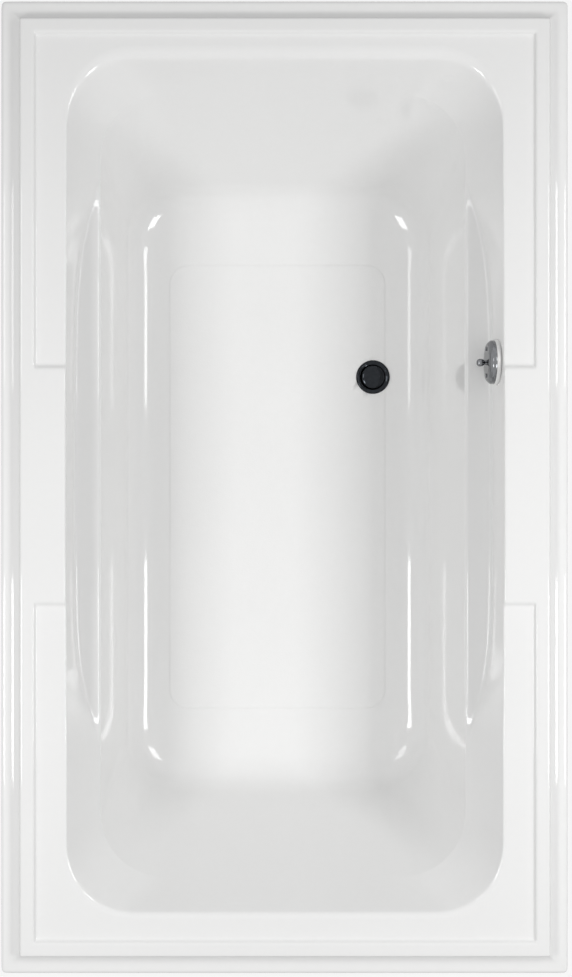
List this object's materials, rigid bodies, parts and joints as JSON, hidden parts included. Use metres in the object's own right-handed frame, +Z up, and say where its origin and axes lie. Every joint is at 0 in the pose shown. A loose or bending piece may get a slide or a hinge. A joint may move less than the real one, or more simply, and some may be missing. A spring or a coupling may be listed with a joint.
{
  "type": "drop-in bathtub",
  "caption": "Rectangular drop-in soaking bath with a stepped rim, armrest shelves, a sloping back at both ends, a side drain with a lift-up stopper, and a trip-lever overflow.",
  "frame": {"origin": "middle of the footprint, on the floor under the bearer pads", "axes": "+X across the bath towards the drain side, +Y along it towards the head end, +Z up"},
  "size_m": [1.067, 1.829, 0.559],
  "materials": {
    "white_acrylic": "high-gloss vacuum-formed acrylic sheet",
    "glass_fibre": "sprayed chopped-strand glass fibre and resin",
    "softwood": "planed softwood",
    "board": "particle board under a coat of resin",
    "rubber_black": "moulded rubber",
    "bright_metal": "polished chrome plate",
    "plain_brass": "unplated brass",
    "zinc_steel": "zinc-plated steel"
  },
  "bodies": {
    "tub": {"acrylic_shell": "white_acrylic", "fibreglass_backing": "glass_fibre", "rim_board_left": "softwood", "rim_board_right": "softwood", "rim_board_head": "softwood", "rim_board_foot": "softwood", "base_board": "board", "bearer_head": "softwood", "bearer_middle": "softwood", "bearer_foot": "softwood", "bearer_pads": "rubber_black", "bearer_screws": "zinc_steel", "drain_flange": "bright_metal", "drain_gasket": "rubber_black", "drain_shoe": "plain_brass", "waste_tube": "plain_brass", "waste_tee": "plain_brass", "overflow_tube": "plain_brass", "overflow_elbow": "plain_brass", "overflow_gasket": "rubber_black", "branch_nut": "plain_brass", "lower_nut": "plain_brass", "upper_nut": "plain_brass", "branch_washer": "rubber_black", "lower_washer": "rubber_black", "upper_washer": "rubber_black", "overflow_plate": "bright_metal", "plate_screws": "bright_metal", "lever_bracket": "zinc_steel", "lever_pin": "zinc_steel"},
    "lever": {"trip_lever": "bright_metal", "link_pin": "zinc_steel"},
    "link": {"link_yoke": "plain_brass", "link_rod": "plain_brass", "link_nuts": "plain_brass", "link_spring": "zinc_steel"},
    "rocker": {"rocker_arm": "plain_brass"},
    "stopper": {"stopper_cap": "bright_metal", "stopper_seal": "rubber_black", "stopper_stem": "plain_brass"}
  },
  "joints": [
    {"name": "lever_tilt", "type": "hinge", "parent": "tub", "child": "lever", "pos_m": [0.41454, 0.238, 0.497], "axis": [0, 1, 0], "range_deg": [0, 26]},
    {"name": "link_travel", "type": "slide", "parent": "tub", "child": "link", "axis": [0, 0, -1], "range_m": [0, 0.01891]},
    {"name": "rocker_tilt", "type": "hinge", "parent": "tub", "child": "rocker", "pos_m": [0.29862, 0.238, 0.03705], "axis": [0, 1, 0], "range_deg": [0, 6.9]},
    {"name": "stopper_lift", "type": "slide", "parent": "tub", "child": "stopper", "axis": [0, 0, 1], "range_m": [0, 0.01101]}
  ],
  "couplings": [
    {"joint": "link_travel", "follows": "lever_tilt", "m_per_rad": 0.041641},
    {"joint": "rocker_tilt", "follows": "lever_tilt", "ratio": 0.26522},
    {"joint": "stopper_lift", "follows": "lever_tilt", "m_per_rad": 0.024241}
  ]
}
